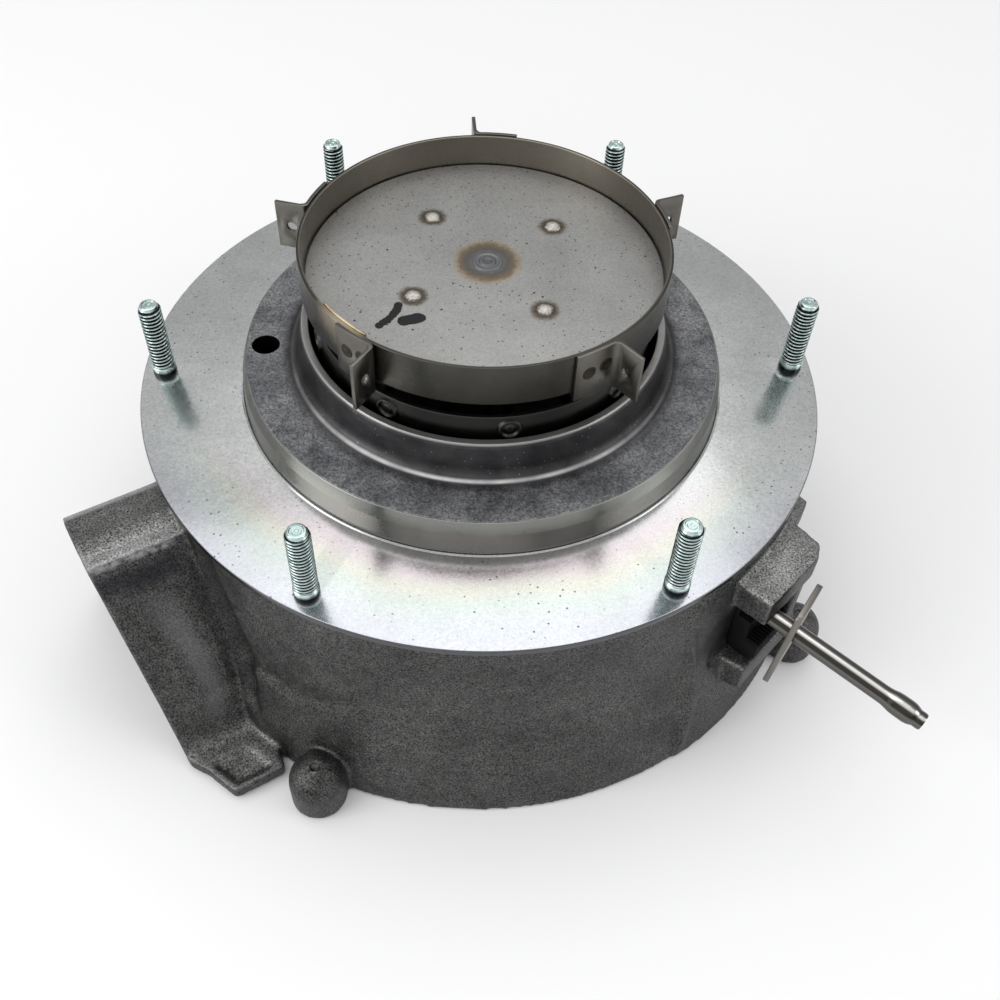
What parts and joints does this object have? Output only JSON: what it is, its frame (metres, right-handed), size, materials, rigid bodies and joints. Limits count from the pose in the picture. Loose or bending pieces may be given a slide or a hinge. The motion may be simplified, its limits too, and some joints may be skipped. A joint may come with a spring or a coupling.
{
  "type": "combustion fan",
  "caption": "Die-cast combustion-air fan with a tangential air horn, a studded burner flange, a sheet-metal flame holder, a fuel pipe stub and an internal motor and impeller.",
  "frame": {"origin": "on the shaft axis at the flat underside of the bottom cover", "axes": "+Z along the shaft towards the flame holder; +X towards the fuel pipe side; the air horn points towards -X and -Y"},
  "size_m": [0.2342, 0.2126, 0.1147],
  "materials": {
    "cast_aluminium": "die-cast, as cast and lightly tumbled, dark warm grey",
    "zinc_plate": "bright zinc plate with a faint iridescent passivation",
    "zinc_sheet": "zinc-plated sheet",
    "zinc_fastener": "blue-passivated zinc",
    "stainless_sheet": "rolled stainless sheet",
    "disc_steel": "matt rolled steel with weld tints",
    "sleeve_steel": "dark heat-resisting sheet",
    "pipe_steel": "drawn stainless tube",
    "black_rubber": "moulded rubber",
    "black_nylon": "glass-filled nylon",
    "copper_winding": "enamelled copper wire",
    "motor_iron": "laminated iron and ferrite",
    "bearing_steel": "ground steel",
    "circuit_board": "green solder resist"
  },
  "bodies": {
    "housing": {"fan_housing": "cast_aluminium", "bottom_cover": "cast_aluminium", "cover_gasket": "black_rubber", "cover_screw_1": "zinc_fastener", "cover_screw_2": "zinc_fastener", "cover_screw_3": "zinc_fastener", "cover_screw_4": "zinc_fastener", "burner_flange": "zinc_plate", "flange_stud_1": "zinc_fastener", "flange_stud_2": "zinc_fastener", "flange_stud_3": "zinc_fastener", "flange_stud_4": "zinc_fastener", "flange_stud_5": "zinc_fastener", "flange_stud_6": "zinc_fastener", "diffuser_sleeve": "sleeve_steel", "sleeve_screw_1": "zinc_fastener", "sleeve_screw_2": "zinc_fastener", "sleeve_screw_3": "zinc_fastener", "swirl_plate": "sleeve_steel", "fuel_cup": "stainless_sheet", "baffle_support": "stainless_sheet", "baffle_disc": "disc_steel", "burner_ring": "stainless_sheet", "ring_bracket_1": "stainless_sheet", "ring_bracket_2": "stainless_sheet", "ring_bracket_3": "stainless_sheet", "ring_bracket_4": "stainless_sheet", "ring_bracket_5": "stainless_sheet", "fuel_pipe": "pipe_steel", "fuel_pipe_plate": "stainless_sheet", "port_grommet": "black_rubber", "inlet_partition": "zinc_sheet", "partition_screw_1": "zinc_fastener", "partition_screw_2": "zinc_fastener", "partition_screw_3": "zinc_fastener", "partition_screw_4": "zinc_fastener", "motor_base": "cast_aluminium", "motor_screw_1": "zinc_fastener", "motor_screw_2": "zinc_fastener", "motor_screw_3": "zinc_fastener", "motor_can": "zinc_sheet", "stator_core": "motor_iron", "stator_coil_1": "copper_winding", "stator_coil_2": "copper_winding", "stator_coil_3": "copper_winding", "stator_coil_4": "copper_winding", "stator_coil_5": "copper_winding", "stator_coil_6": "copper_winding", "motor_board": "circuit_board", "lower_bearing_outer_race": "bearing_steel", "upper_bearing_outer_race": "bearing_steel"},
    "rotor": {"motor_shaft": "bearing_steel", "rotor_core": "motor_iron", "rotor_magnet": "motor_iron", "lower_bearing_inner_race": "bearing_steel", "upper_bearing_inner_race": "bearing_steel", "impeller": "black_nylon", "impeller_nut": "zinc_fastener"},
    "lower_cage": {"lower_bearing_ball_cage": "bearing_steel"},
    "upper_cage": {"upper_bearing_ball_cage": "bearing_steel"}
  },
  "joints": [
    {"name": "rotor_spin", "type": "hinge", "parent": "housing", "child": "rotor", "pos_m": [0, 0, 0.045], "axis": [0, 0, 1], "continuous": true},
    {"name": "lower_cage_spin", "type": "hinge", "parent": "housing", "child": "lower_cage", "pos_m": [0, 0, 0.0091], "axis": [0, 0, 1], "continuous": true},
    {"name": "upper_cage_spin", "type": "hinge", "parent": "housing", "child": "upper_cage", "pos_m": [0, 0, 0.0297], "axis": [0, 0, 1], "continuous": true}
  ],
  "couplings": [
    {"joint": "lower_cage_spin", "follows": "rotor_spin", "ratio": 0.402},
    {"joint": "upper_cage_spin", "follows": "rotor_spin", "ratio": 0.402}
  ]
}
